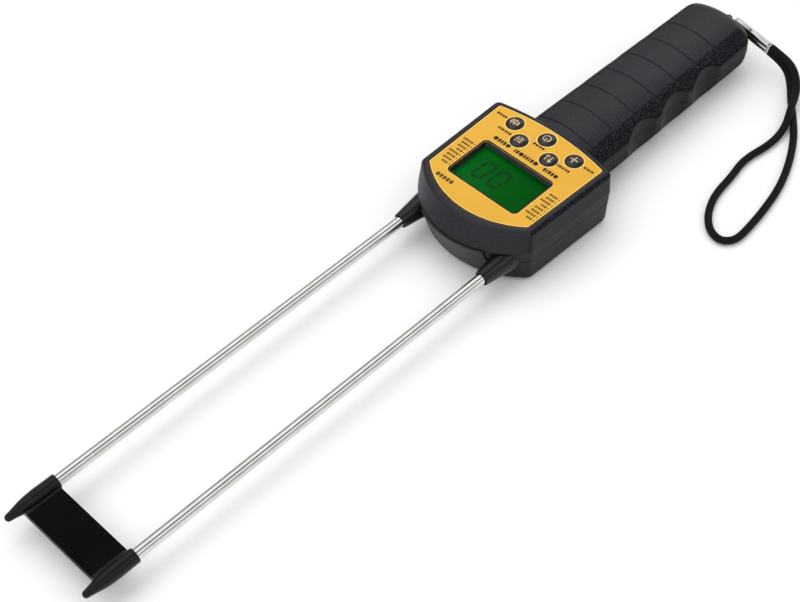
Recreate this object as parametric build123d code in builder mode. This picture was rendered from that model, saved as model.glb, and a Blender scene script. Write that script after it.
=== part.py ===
from build123d import *

import math
import os

# Handheld grain moisture meter: two long probe rods, a display head and a
# hollow grip with the cells. It lies on its back. Millimetres throughout.
# +Z points out of the face label, +Y runs from the grip to the probe tips,
# X = 0 is the mirror plane. The origin is under the middle of the meter,
# on the surface that it rests on.

# ---------------------------------------------------------------- driving sizes
overall_length = 418.0
rod_pitch = 50.0
rod_diameter = 5.2
rod_axis_z = 13.3
wall = 2.2
face_z = 30.1
part_line_z = 13.3
part_gap = 0.15
sill_gap = 0.45
boot_mouth_r = 3.05
boot_mouth_depth = 1.2

# Stations along the meter
tip_y = overall_length / 2
bridge_rear_y = tip_y - 25.5
boot_front_y = tip_y - 217.6
head_corner_y = boot_front_y - 21.6
head_rear_y = boot_front_y - 73.0
grip_end_y = boot_front_y - 195.0
rod_rear_y = boot_front_y - 46.0

# Grip
grip_front_half = 21.0
grip_rear_half = 18.9
grip_top_z = 28.6
grip_crown_r = 39.0
grip_tuck = 2.4
grip_end_r = 8.0
groove_count = 7
groove_first_y = boot_front_y - 82.0
groove_pitch = 14.69
groove_r = 0.55
scallop_count = 3
scallop_first_y = boot_front_y - 112.0
scallop_pitch = 23.3
scallop_r = 18.0
scallop_depth = 3.0
scallop_lean = 4.0

# Face: label, display window and keys
label_thickness = 0.4
recess_z = face_z - label_thickness
ceiling_z = recess_z - wall
window_centre_y = boot_front_y - 38.4
window_size = (40.4, 24.6)
window_ledge = (38.0, 22.2)
window_ledge_z = recess_z - 1.5
key_r = 4.0
key_hole_r = 4.2
key_flange_r = 5.0
key_top_z = face_z + 1.1
key_places = {
    "key_voice": (17.85, boot_front_y - 67.1),
    "key_variety": (8.9, boot_front_y - 60.2),
    "key_power": (0.0, boot_front_y - 69.0),
    "key_adjust": (-8.9, boot_front_y - 60.2),
    "key_limit": (-17.85, boot_front_y - 67.1),
}

# Circuit board and what stands on it
board_z = 18.6
board_top_z = board_z + 1.6
glass_size = (46.0, 29.0)

# Screws
shell_screw_places = [
    (28.6, head_rear_y + 7.4),
    (-28.6, head_rear_y + 7.4),
    (11.5, boot_front_y - 15.2),
    (-11.5, boot_front_y - 15.2),
    (0.0, boot_front_y - 88.0),
]
board_screw_places = [
    (27.6, window_centre_y + 8.0),
    (-27.6, window_centre_y + 8.0),
    (27.6, window_centre_y - 15.0),
    (-27.6, window_centre_y - 15.0),
]
carrier_screw_places = [(10.0, boot_front_y - 30.5), (-10.0, boot_front_y - 30.5)]

# Cells, four AAA in two rows, and their holder
cell_r = 5.2
cell_length = 44.4
cell_z = 8.3
cell_x = 5.5
bay_front_y = boot_front_y - 96.6
bay_length = 93.2
holder_wall = 1.2
door_half = 11.85
door_front_y = bay_front_y - 2.0
door_gap = 0.15
door_top_z = 4.7

# Strap lug, ferrule and wrist cord
pin_y = grip_end_y - 3.2
pin_r = 0.8
ear_r = 2.2
ear_thickness = 1.3
ear_gap = 0.1
eye_z = part_line_z + 3.5
eye_thickness = 1.8
eye_r = 2.2
sleeve_start_x = -4.2
sleeve_start_z = 18.8
sleeve_droop = 12.5
sleeve_length = 22.3
lobe_r = 1.75
lobe_offset = 1.45
cord_diameter = 3.5
cord_rest_z = cord_diameter / 2 + 0.05

on_base = (Align.CENTER, Align.CENTER, Align.MIN)
behind = (Align.CENTER, Align.MAX, Align.MIN)

os.makedirs("parts", exist_ok=True)


def keep(part, label):
    """Name a finished piece and write it to its own STEP file."""
    part.label = label
    export_step(part, f"parts/{label}.step")


# ---------------------------------------------------------------- outer forms
# One row per level of the head: height, half widths at the front and rear
# corners, y of the front corners, of the nose, of the rear corners and tail.
floor_level = (0.0, 33.3, 34.2, head_corner_y, boot_front_y - 8.9, head_rear_y + 0.4, head_rear_y - 3.4)
sill_level = (19.5, 34.4, 35.4, head_corner_y, boot_front_y - 2.6, head_rear_y, head_rear_y - 4.0)
waist_level = (19.5, 34.4, 35.4, head_corner_y, boot_front_y - 3.7, head_rear_y, head_rear_y - 4.0)
crown_level = (
    face_z, 33.4, 34.7, head_corner_y - 1.4, boot_front_y - 10.0, head_rear_y - 0.7, head_rear_y - 4.6,
)


def head_face(level, inset, z):
    """Plan outline of the head: two shallow arcs joined by straight sides."""
    _, front_half, rear_half, corner_y, nose_y, rear_y, tail_y = level
    front = front_half - inset
    rear = rear_half - inset
    with BuildSketch(Plane.XY.offset(z)) as face:
        with BuildLine():
            ThreePointArc((-front, corner_y - inset / 2), (0, nose_y - inset), (front, corner_y - inset / 2))
            Line((front, corner_y - inset / 2), (rear, rear_y + inset))
            ThreePointArc((rear, rear_y + inset), (0, tail_y + inset), (-rear, rear_y + inset))
            Line((-rear, rear_y + inset), (-front, corner_y - inset / 2))
        make_face()
        corner_r = 5.2 if level is floor_level else 3.2
        fillet(face.vertices(), corner_r - inset / 2)
    return face.sketch


def head_form(lower_waist, inset=0.0):
    """Head as one closed solid, or its cavity when inset by the wall."""
    with BuildPart() as head:
        loft(sections=[head_face(floor_level, inset, inset), head_face(lower_waist, inset, 19.5)])
        if inset == 0:
            floor_edges = head.faces().sort_by(Axis.Z)[0].edges()
            fillet(floor_edges, 3.6)
    with BuildPart() as upper:
        top_z = face_z if inset == 0 else ceiling_z
        loft(sections=[head_face(waist_level, inset, 19.5), head_face(crown_level, inset, top_z)])
        if inset == 0:
            fillet(upper.faces().sort_by(Axis.Z)[-1].edges(), 2.2)
    with BuildPart() as form:
        add(head.part)
        add(upper.part)
    return form.part


def tail_rounder():
    """What is cut away to round the lower rear edge of the head."""
    radius = 10.0
    edge_y = head_rear_y - 4.0
    with BuildPart() as rounder:
        with BuildSketch(Plane.YZ):
            with Locations((edge_y, 0)):
                Rectangle(2 * radius, 2 * radius)
            with Locations((edge_y + radius, radius)):
                Circle(radius, mode=Mode.SUBTRACT)
            with Locations((edge_y + radius, 0)):
                Rectangle(2 * radius, 4 * radius, align=(Align.MIN, Align.CENTER), mode=Mode.SUBTRACT)
        extrude(amount=40, both=True)
    return rounder.part


def grip_half(y):
    """Half width of the grip at a station, tapering towards its end."""
    share = (head_rear_y - y) / (head_rear_y - grip_end_y)
    return grip_front_half + (grip_rear_half - grip_front_half) * share


def grip_face(y, inset):
    """Section of the grip: domed top, round lower corners."""
    half = grip_half(y) - inset
    crown_r = grip_crown_r - inset
    top = grip_top_z - inset
    shoulder = top - crown_r + math.sqrt(crown_r**2 - half**2)
    with BuildSketch(Plane.XZ.offset(-y)) as face:
        with BuildLine():
            foot = half - grip_tuck
            Polyline((-half, part_line_z), (-foot, inset), (foot, inset), (half, part_line_z))
            Line((half, part_line_z), (half, shoulder))
            ThreePointArc((half, shoulder), (0, top), (-half, shoulder))
            Line((-half, shoulder), (-half, part_line_z))
        make_face()
        fillet(face.vertices().group_by(Axis.Y)[0], 11.0 - inset)
        fillet(face.vertices().group_by(Axis.Y)[-1], 9.5 - inset)
    return face.sketch


def scallop_cutter(side, grow=0.0):
    """Finger hollows of one side, with soft ridges between them."""
    lean = math.radians(scallop_lean)
    plane = Plane(
        origin=(0, 0, part_line_z),
        x_dir=(math.cos(lean), 0, -side * math.sin(lean)),
        z_dir=(side * math.sin(lean), 0, math.cos(lean)),
    )
    radius = scallop_r + grow
    start_y = head_rear_y - 8
    end_y = grip_end_y + 12
    with BuildPart() as cutter:
        with BuildSketch(plane) as hollows:
            with BuildLine():
                Polyline(
                    (side * (grip_half(start_y) + 0.2), start_y),
                    (side * (grip_half(end_y) + 0.2), end_y),
                    (side * 34, end_y),
                    (side * 34, start_y),
                    close=True,
                )
            make_face()
            for turn in range(scallop_count):
                y = scallop_first_y - turn * scallop_pitch
                with Locations((side * (grip_half(y) + scallop_r - scallop_depth), y)):
                    Circle(radius)
            if grow == 0:
                rims = hollows.vertices().filter_by(lambda v: abs(abs(v.X) - grip_half(v.Y)) < 0.9)
                rims = rims.filter_by(lambda v: end_y + 1 < v.Y < start_y - 1)
                fillet(rims, 4.0)
        extrude(amount=24, both=True)
    return cutter.part


def grip_form(inset=0.0):
    """Grip as one closed solid, or its cavity when inset by the wall."""
    front_y = head_rear_y + (6.0 if inset == 0 else 4.0)
    with BuildPart() as grip:
        loft(sections=[grip_face(front_y, inset), grip_face(grip_end_y + inset, inset)])
        fillet(grip.faces().sort_by(Axis.Y)[0].edges(), grip_end_r - inset)
        add(scallop_cutter(1, inset), mode=Mode.SUBTRACT)
        add(scallop_cutter(-1, inset), mode=Mode.SUBTRACT)
        if inset == 0:
            brows = grip.edges().filter_by(lambda e: abs(e.center().X) > 17 and e.bounding_box().size.Z > 4)
            brows = brows.filter_by(lambda e: 15 < e.bounding_box().size.Y < 19.5)
            fillet(brows.filter_by(lambda e: e.center().Z > part_line_z), 1.9)
    return grip.part


def shell_form(lower_waist):
    """Head and grip together as one hollow wall."""
    with BuildPart() as shell:
        add(head_form(lower_waist))
        add(tail_rounder(), mode=Mode.SUBTRACT)
        add(grip_form())
        add(head_form(lower_waist, wall), mode=Mode.SUBTRACT)
        add(grip_form(wall), mode=Mode.SUBTRACT)
    return shell.part


def label_face(z, grow):
    """Outline of the face label at a height, grown for its recess."""
    front = 30.4 + grow
    rear = 31.7 + grow
    front_y = boot_front_y - 24.0
    nose_y = boot_front_y - 12.9 + grow
    rear_y = boot_front_y - 71.6 - grow
    tail_y = boot_front_y - 75.4 - grow
    with BuildSketch(Plane.XY.offset(z)) as face:
        with BuildLine():
            ThreePointArc((-front, front_y), (0, nose_y), (front, front_y))
            Line((front, front_y), (rear, rear_y))
            ThreePointArc((rear, rear_y), (0, tail_y), (-rear, rear_y))
            Line((-rear, rear_y), (-front, front_y))
        make_face()
        fillet(face.vertices(), 1.6)
    return face.sketch


def window_face(size, z, corner_r):
    """Rounded rectangle over the display at a height."""
    with BuildSketch(Plane.XY.offset(z)) as face:
        with Locations((0, window_centre_y)):
            RectangleRounded(size[0], size[1], corner_r)
    return face.sketch


def tube(points, radii, radius):
    """Round wire or cord along straight runs joined by tangent arcs."""
    with BuildPart() as run:
        with BuildLine() as path:
            FilletPolyline(*points, radius=radii)
        start = path.line @ 0
        heading = path.line % 0
        with BuildSketch(Plane(origin=start, z_dir=heading)):
            Circle(radius)
        sweep(path=path.line)
    return run.part


# ---------------------------------------------------------------- casing
def sill_block(half, low_z, high_z):
    """The stretch of front wall between the boots that belongs to the lower shell."""
    with BuildPart() as block:
        with Locations((0, boot_front_y - 12.2, low_z)):
            Box(2 * half, 40, high_z - low_z, align=(Align.CENTER, Align.MIN, Align.MIN))
    return block.part


def boot_form(grow=0.0):
    """Tapered rubber boot on a rod, drawn round the Y axis at X = 0."""
    seat_y = boot_front_y - 16.6
    rear_y = boot_front_y - 22.3
    with BuildPart() as boot:
        with BuildSketch(Plane.YZ):
            with BuildLine():
                Polyline(
                    (boot_front_y, 0),
                    (boot_front_y, 3.6 + grow),
                    (seat_y, 5.75 + grow),
                    (rear_y, 5.75 + grow),
                    (rear_y, 0),
                    close=True,
                )
            make_face()
        revolve(axis=Axis.Y)
        if grow == 0:
            fillet(boot.edges().sort_by(Axis.Y)[-1], 0.25)
    return boot.part


def make_upper_housing():
    """Head and grip upper half, with the window, key holes, posts and grooves."""
    screw_post_r = 3.1
    board_post_r = 2.5
    with BuildPart() as upper:
        add(shell_form(waist_level))
        with Locations((0, 0, part_line_z + part_gap)):
            Box(200, 600, 60, align=on_base, mode=Mode.INTERSECT)
        add(sill_block(19.0, part_line_z, 19.5 + sill_gap), mode=Mode.SUBTRACT)
        for x, y in shell_screw_places:
            top_z = ceiling_z if y > head_rear_y else grip_top_z - wall
            base_z = part_line_z + part_gap
            with Locations((x, y, base_z)):
                Cylinder(screw_post_r, top_z + 0.4 - base_z, align=on_base)
        for x, y in board_screw_places:
            with Locations((x, y, board_top_z)):
                Cylinder(board_post_r, ceiling_z + 0.4 - board_top_z, align=on_base)
        with Locations(*[(x, y, part_line_z) for x, y in shell_screw_places]):
            Cylinder(1.2, 11, align=on_base, mode=Mode.SUBTRACT)
        with Locations(*[(x, y, board_top_z) for x, y in board_screw_places]):
            Cylinder(0.8, 5, align=on_base, mode=Mode.SUBTRACT)
        extrude(label_face(recess_z, 0.12), amount=3, mode=Mode.SUBTRACT)
        loft(
            sections=[
                window_face(window_ledge, window_ledge_z, 1.4),
                window_face(window_size, recess_z, 1.8),
            ],
            mode=Mode.SUBTRACT,
        )
        extrude(window_face((43.4, 27.0), window_ledge_z, 1.2), amount=-3, mode=Mode.SUBTRACT)
        with Locations(*[(x, y, face_z) for x, y in key_places.values()]):
            Cylinder(key_hole_r, 8, mode=Mode.SUBTRACT)
        for side in (-1, 1):
            hole = boot_form(0.12)
            add(hole.moved(Location((side * rod_pitch / 2, 0, rod_axis_z))), mode=Mode.SUBTRACT)
        for turn in range(groove_count):
            y = groove_first_y - turn * groove_pitch
            with Locations(Location((0, y, grip_top_z - grip_crown_r), (90, 0, 0))):
                Torus(grip_crown_r, groove_r, mode=Mode.SUBTRACT)
        ear_offset = eye_thickness / 2 + ear_gap
        for low_z in (eye_z - ear_offset - ear_thickness, eye_z + ear_offset):
            add(lug_ear(low_z, ear_thickness))
        with Locations((0, pin_y, eye_z)):
            Cylinder(pin_r + 0.03, 8, mode=Mode.SUBTRACT)
    keep(upper.part, "upper_housing")


def lug_ear(low_z, thickness):
    """One of the two ears behind the grip that hold the strap pin."""
    with BuildPart() as ear:
        with BuildSketch(Plane.XY.offset(low_z)):
            with Locations((0, pin_y)):
                Circle(ear_r)
            with Locations((0, pin_y)):
                Rectangle(2 * ear_r, grip_end_y + 0.8 - pin_y, align=(Align.CENTER, Align.MIN))
        extrude(amount=thickness)
    return ear.part


def make_lower_housing():
    """Head and grip lower half, with screw bosses, carrier seats and the cell bay mouth."""
    top_z = part_line_z - part_gap
    with BuildPart() as keep_zone:
        with Locations((0, 0, top_z)):
            Box(200, 600, 60, align=(Align.CENTER, Align.CENTER, Align.MAX))
        add(sill_block(18.8, top_z - 1, 19.5 - part_gap))
    with BuildPart() as lower:
        add(shell_form(sill_level))
        add(keep_zone.part, mode=Mode.INTERSECT)
        with Locations(*[(x, y, 1.0) for x, y in shell_screw_places]):
            Cylinder(3.1, top_z - 1.0, align=on_base)
        with Locations(*[(x, y, 1.0) for x, y in carrier_screw_places]):
            Cylinder(3.4, 6.95, align=on_base)
        with Locations(*[(x, y, 0) for x, y in shell_screw_places]):
            Cylinder(2.6, 8, align=on_base, mode=Mode.SUBTRACT)
            Cylinder(1.5, 30, mode=Mode.SUBTRACT)
        with Locations(*[(x, y, 3.4) for x, y in carrier_screw_places]):
            Cylinder(1.3, 12, align=on_base, mode=Mode.SUBTRACT)
        for side in (-1, 1):
            hole = boot_form(0.12)
            add(hole.moved(Location((side * rod_pitch / 2, 0, rod_axis_z))), mode=Mode.SUBTRACT)
        with Locations((0, door_front_y, -5)):
            Box(
                2 * (door_half + door_gap),
                200,
                5 + door_top_z + door_gap,
                align=behind,
                mode=Mode.SUBTRACT,
            )
    keep(lower.part, "lower_housing")


def make_battery_cover():
    """Sliding cover under the grip: it leaves towards the grip's end."""
    with BuildPart() as cover:
        add(grip_form())
        add(grip_form(wall), mode=Mode.SUBTRACT)
        with Locations((0, door_front_y - door_gap, -5)):
            Box(
                2 * door_half,
                200,
                5 + door_top_z,
                align=behind,
                mode=Mode.INTERSECT,
            )
        for side in (-1, 1):
            for y in (door_front_y - 16, door_front_y - 52, door_front_y - 76):
                with Locations((side * 11.2, y, 1.4)):
                    Box(1.2, 5, 5.1, align=on_base)
                with Locations((side * 12.1, y, 5.7)):
                    Box(3.0, 5, 0.8, align=on_base)
        with GridLocations(0, 2.2, 1, 6):
            rib_y = grip_end_y + 18
            with Locations((0, rib_y, 0)):
                Box(13, 0.9, 0.9, mode=Mode.SUBTRACT)
    keep(cover.part, "battery_cover")


def make_face_label():
    """Thin printed sheet in the recess of the head, cut out for window and keys."""
    with BuildPart() as label:
        extrude(label_face(recess_z, 0.0), amount=label_thickness)
        extrude(window_face(window_size, recess_z, 1.8), amount=label_thickness, mode=Mode.SUBTRACT)
        with Locations(*[(x, y, face_z) for x, y in key_places.values()]):
            Cylinder(key_hole_r + 0.15, 4, mode=Mode.SUBTRACT)
    keep(label.part, "face_label")


# ---------------------------------------------------------------- display stack
def make_display():
    """Clear window, glass panel, backlight, carrier frame and contact strips."""
    with BuildPart() as window:
        extrude(window_face((43.0, 26.6), window_ledge_z - 0.05, 1.0), amount=-1.2)
    keep(window.part, "display_window")

    with BuildPart() as panel:
        with Locations((0, window_centre_y, board_top_z + 3.9)):
            Box(glass_size[0], glass_size[1], 2.5, align=on_base)
        chamfer(panel.edges().filter_by(Axis.Z), 0.5)
    keep(panel.part, "lcd_panel")

    with BuildPart() as backlight:
        with Locations((0, window_centre_y, board_top_z)):
            Box(42, 23, 3.7, align=on_base)
        chamfer(backlight.edges().group_by(Axis.Z)[-1], 0.4)
    keep(backlight.part, "lcd_backlight")

    with BuildPart() as frame:
        extrude(window_face((49.0, 32.0), board_top_z, 1.5), amount=6.5)
        glass_pocket = (glass_size[0] + 0.4, glass_size[1] + 0.4)
        extrude(window_face(glass_pocket, board_top_z, 0.4), amount=6.5, mode=Mode.SUBTRACT)
    keep(frame.part, "lcd_frame")

    with BuildPart() as strips:
        with Locations((0, window_centre_y + 13.0, board_top_z), (0, window_centre_y - 13.0, board_top_z)):
            Box(42, 1.6, 3.8, align=on_base)
    keep(strips.part, "lcd_contact_strips")


# ---------------------------------------------------------------- circuit board
def make_board():
    """Main circuit board with its chips, crystal, capacitors and buzzer."""
    rear_y = head_rear_y + 2.0
    neck_y = head_rear_y + 13.4
    shoulder_y = window_centre_y + 12.6
    nose_y = window_centre_y + 16.6
    with BuildPart() as board:
        with BuildSketch(Plane.XY.offset(board_z)) as outline:
            with BuildLine():
                Polyline(
                    (-20, nose_y),
                    (20, nose_y),
                    (30.4, shoulder_y),
                    (30.4, neck_y),
                    (24, neck_y),
                    (24, rear_y),
                    (-24, rear_y),
                    (-24, neck_y),
                    (-30.4, neck_y),
                    (-30.4, shoulder_y),
                    close=True,
                )
            make_face()
            fillet(outline.vertices(), 0.8)
            with Locations(*board_screw_places):
                Circle(1.1, mode=Mode.SUBTRACT)
        extrude(amount=board_top_z - board_z)
    keep(board.part, "main_board")

    chips = [
        (12, -8, 10, 10, 1.5),
        (-10, -4, 8.6, 4.0, 1.5),
        (-8, -12, 5.0, 4.0, 1.5),
        (8, -22, 6.0, 5.0, 1.4),
    ]
    with BuildPart() as packages:
        for x, y, length, width, height in chips:
            with Locations((x, window_centre_y + y, board_z)):
                Box(length, width, height, align=(Align.CENTER, Align.CENTER, Align.MAX))
        chamfer(packages.edges().group_by(Axis.Z)[0], 0.2)
    keep(packages.part, "board_chips")

    with BuildPart() as crystal:
        with BuildSketch(Plane.XY.offset(board_z)):
            with Locations((-2, window_centre_y - 22)):
                SlotOverall(10.5, 4.4)
        extrude(amount=-3.4)
        fillet(crystal.edges().group_by(Axis.Z)[0], 0.5)
    keep(crystal.part, "clock_crystal")

    with BuildPart() as cans:
        with Locations((18, window_centre_y - 19, board_z), (18, window_centre_y - 27, board_z)):
            Cylinder(2.5, 6.2, align=(Align.CENTER, Align.CENTER, Align.MAX))
        fillet(cans.edges().group_by(Axis.Z)[0], 0.4)
    keep(cans.part, "board_capacitors")

    with BuildPart() as buzzer:
        with Locations((-17, window_centre_y - 22, board_z)):
            Cylinder(6.0, 5.5, align=(Align.CENTER, Align.CENTER, Align.MAX))
        fillet(buzzer.edges().group_by(Axis.Z)[0], 0.6)
        with Locations((-17, window_centre_y - 22, board_z - 5.5)):
            Cylinder(1.0, 1.2, mode=Mode.SUBTRACT)
    keep(buzzer.part, "buzzer")


def make_keypad():
    """Silicone mat on the board, with a dome under each key."""
    with BuildPart() as mat:
        with BuildSketch(Plane.XY.offset(board_top_z)):
            with Locations((0, boot_front_y - 63.9)):
                RectangleRounded(46, 15.6, 2)
        extrude(amount=1.2)
        for x, y in key_places.values():
            with Locations((x, y, board_top_z + 1.2)):
                Cone(3.3, 2.4, 4.0, align=on_base)
    keep(mat.part, "keypad_mat")


def make_keys():
    """Five round domed keys, each with the flange that keeps it in its hole."""
    flange_top_z = ceiling_z - 0.3
    flange_z = flange_top_z - 0.9
    dome_rise = 1.0
    dome_r = (key_r**2 + dome_rise**2) / (2 * dome_rise)
    rim_z = key_top_z - dome_rise
    dome_z = key_top_z - dome_r + math.sqrt(dome_r**2 - key_r**2 / 4)
    for label, (x, y) in key_places.items():
        with BuildPart() as key:
            with BuildSketch(Plane.XZ.offset(-y)):
                with BuildLine():
                    Line((x, flange_z), (x + key_flange_r, flange_z))
                    Line((x + key_flange_r, flange_z), (x + key_flange_r, flange_top_z))
                    Line((x + key_flange_r, flange_top_z), (x + key_r, flange_top_z))
                    Line((x + key_r, flange_top_z), (x + key_r, rim_z))
                    ThreePointArc((x + key_r, rim_z), (x + key_r / 2, dome_z), (x, key_top_z))
                    Line((x, key_top_z), (x, flange_z))
                make_face()
            revolve(axis=Axis((x, y, 0), (0, 0, 1)))
            rims = key.edges().filter_by(lambda e: e.is_closed and abs(e.radius - key_r) < 0.01)
            fillet(rims.sort_by(Axis.Z)[-1], 0.5)
        keep(key.part, label)


# ---------------------------------------------------------------- probe
def make_rods():
    """Two stainless rods with a chamfered rear end, and their boots."""
    for side, word in ((1, "left"), (-1, "right")):
        x = side * rod_pitch / 2
        front_y = bridge_rear_y + 11.0
        with BuildPart() as rod:
            with BuildSketch(Plane.XZ.offset(-rod_rear_y)):
                with Locations((x, rod_axis_z)):
                    Circle(rod_diameter / 2)
            extrude(amount=-(front_y - rod_rear_y))
            chamfer(rod.edges().filter_by(GeomType.CIRCLE), 0.4)
        keep(rod.part, f"probe_rod_{word}")

        with BuildPart() as boot:
            add(boot_form().moved(Location((x, 0, rod_axis_z))))
            with Locations(Location((x, boot_front_y - 10, rod_axis_z), (90, 0, 0))):
                Cylinder(rod_diameter / 2 + 0.03, 60, mode=Mode.SUBTRACT)
            with Locations(Location((x, boot_front_y - boot_mouth_depth / 2, rod_axis_z), (90, 0, 0))):
                Cylinder(boot_mouth_r, boot_mouth_depth, mode=Mode.SUBTRACT)
        keep(boot.part, f"rod_boot_{word}")


def make_rod_carrier():
    """Insulating block that holds both rods at their pitch inside the head."""
    length = 16.0
    front_y = boot_front_y - 22.4
    centre_y = front_y - length / 2
    with BuildPart() as carrier:
        with Locations((0, centre_y, 8.0)):
            Box(59, length, 9.1, align=on_base)
        chamfer(carrier.edges().filter_by(Axis.Z), 2.0)
        with Locations((0, centre_y, 8.0)):
            Box(11, 9, 30, mode=Mode.SUBTRACT)
        for side in (-1, 1):
            with Locations(Location((side * rod_pitch / 2, centre_y, rod_axis_z), (90, 0, 0))):
                Cylinder(rod_diameter / 2 + 0.03, 40, mode=Mode.SUBTRACT)
        with Locations(*[(x, y, 17.9) for x, y in carrier_screw_places]):
            Cylinder(2.7, 2.5, align=(Align.CENTER, Align.CENTER, Align.MAX), mode=Mode.SUBTRACT)
            Cylinder(1.4, 40, mode=Mode.SUBTRACT)
    keep(carrier.part, "rod_carrier")


def make_rod_fixings():
    """Ring terminals and lock nuts behind the rod carrier."""
    face_y = boot_front_y - 38.4
    with BuildPart() as terminals:
        for side in (-1, 1):
            x = side * rod_pitch / 2
            with BuildSketch(Plane.XZ.offset(-face_y + 0.05)):
                with Locations((x, rod_axis_z)):
                    Circle(4.5)
                with Locations((x - side * 6, rod_axis_z)):
                    Rectangle(9, 2.6)
                with Locations((x, rod_axis_z)):
                    Circle(rod_diameter / 2 + 0.05, mode=Mode.SUBTRACT)
            extrude(amount=0.6)
    keep(terminals.part, "rod_terminals")

    with BuildPart() as nuts:
        for side in (-1, 1):
            with BuildSketch(Plane.XZ.offset(-face_y + 0.7)):
                with Locations((side * rod_pitch / 2, rod_axis_z)):
                    RegularPolygon(4.5, 6)
                    Circle(rod_diameter / 2 + 0.02, mode=Mode.SUBTRACT)
            extrude(amount=3.6)
        chamfer(nuts.edges().filter_by(GeomType.CIRCLE), 0.3)
    keep(nuts.part, "rod_nuts")


def make_tip_bridge():
    """One black moulding: two pointed tips joined by a flat plate."""
    plate_front_y = bridge_rear_y + 18.2
    plate_z = rod_axis_z - 1.1
    tip_r = 1.7
    with BuildPart() as bridge:
        with BuildSketch(Plane.XY.offset(plate_z - 1.5)):
            with BuildLine():
                Polyline(
                    (-24.5, bridge_rear_y + 0.8),
                    (24.5, bridge_rear_y + 0.8),
                    (24.5, plate_front_y),
                    (-24.5, plate_front_y),
                    close=True,
                )
            make_face()
        extrude(amount=3.0)
        for side in (-1, 1):
            x = side * rod_pitch / 2
            with BuildSketch(Plane.XY.offset(rod_axis_z)):
                with BuildLine():
                    Line((x, bridge_rear_y), (x + 3.35, bridge_rear_y))
                    Line((x + 3.35, bridge_rear_y), (x + 3.45, bridge_rear_y + 9))
                    Spline(
                        (x + 3.45, bridge_rear_y + 9),
                        (x + 2.75, bridge_rear_y + 18),
                        (x + tip_r, tip_y - tip_r),
                        tangents=[(0, 1), (-0.12, 1)],
                    )
                    ThreePointArc(
                        (x + tip_r, tip_y - tip_r),
                        (x + tip_r * math.sin(math.pi / 4), tip_y - tip_r + tip_r * math.sin(math.pi / 4)),
                        (x, tip_y),
                    )
                    Line((x, tip_y), (x, bridge_rear_y))
                make_face()
            revolve(axis=Axis((x, 0, rod_axis_z), (0, 1, 0)))
        for side in (-1, 1):
            with Locations(Location((side * rod_pitch / 2, bridge_rear_y, rod_axis_z), (90, 0, 0))):
                Cylinder(rod_diameter / 2 + 0.03, 22.4, mode=Mode.SUBTRACT)
    keep(bridge.part, "tip_bridge")


# ---------------------------------------------------------------- cells
def make_cell_holder():
    """Open-bottomed box in the grip that holds four cells in two rows."""
    front_y = bay_front_y + holder_wall
    length = bay_length + 2 * holder_wall
    roof_z = 14.2
    floor_z = 6.9
    roof_top_z = roof_z + holder_wall
    with BuildPart() as holder:
        with Locations((0, front_y, floor_z)):
            Box(25.2, length, roof_top_z - floor_z, align=behind)
        with Locations((0, bay_front_y, floor_z - 1)):
            Box(22.8, bay_length, roof_z - floor_z + 1, align=behind, mode=Mode.SUBTRACT)
        with Locations((0, front_y, wall + 0.1)):
            Box(12, holder_wall, 6, align=behind)
        pillar_z = roof_top_z - 0.2
        with Locations((0, bay_front_y - 3, pillar_z), (0, bay_front_y - bay_length + 8, pillar_z)):
            Cylinder(2.5, grip_top_z - wall - roof_top_z - 0.1, align=on_base)
    keep(holder.part, "battery_holder")


def make_cells():
    """Four AAA cells, two in line in each row, rows facing opposite ways."""
    number = 0
    for side in (-1, 1):
        for place in (0, 1):
            number += 1
            rear_y = bay_front_y - 0.35 - (place + 1) * (cell_length + 0.1)
            if side < 0:
                rear_y -= 3.2
            with BuildPart() as cell:
                body = cell_length - 0.9
                with Locations(Location((side * cell_x, rear_y, cell_z), (-90, 0, 0))):
                    if side > 0:
                        Cylinder(cell_r, body, align=on_base)
                        Cylinder(1.9, cell_length, align=on_base)
                    else:
                        Cylinder(1.9, cell_length, align=on_base)
                with Locations(Location((side * cell_x, rear_y + 0.9, cell_z), (-90, 0, 0))):
                    if side < 0:
                        Cylinder(cell_r, body, align=on_base)
                rims = cell.edges().filter_by(GeomType.CIRCLE).filter_by(lambda e: e.radius > 5)
                fillet(rims, 0.5)
            keep(cell.part, f"battery_{number}")


def make_contacts():
    """Coil springs and end plates of the cell holder."""
    front_y = bay_front_y
    rear_y = bay_front_y - bay_length
    with BuildPart() as springs:
        for x, y in ((-cell_x, front_y - 3.25), (cell_x, rear_y + 0.7)):
            with BuildLine():
                coil = Helix(0.85, 2.55, 3.0, center=(x, y, cell_z), direction=(0, 1, 0))
            with BuildSketch(Plane(origin=coil @ 0, z_dir=coil % 0)):
                Circle(0.3)
            sweep()
    keep(springs.part, "battery_springs")

    with BuildPart() as plates:
        for side in (-1, 1):
            with Locations((side * cell_x, front_y - 0.2, cell_z)):
                Box(8.6, 0.3, 8.6)
        with Locations((0, rear_y + 0.2, cell_z)):
            Box(20.4, 0.3, 8.6)
    keep(plates.part, "battery_plates")


# ---------------------------------------------------------------- leads
def corner_radii(points, share=0.45):
    """Arc radius at each corner of a route: as large as its two runs allow."""
    radii = []
    for before, here, after in zip(points, points[1:], points[2:]):
        first = Vector(*here) - Vector(*before)
        second = Vector(*after) - Vector(*here)
        half_turn = math.radians(first.get_angle(second)) / 2
        radii.append(share * min(first.length, second.length) / math.tan(half_turn))
    return radii


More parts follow.
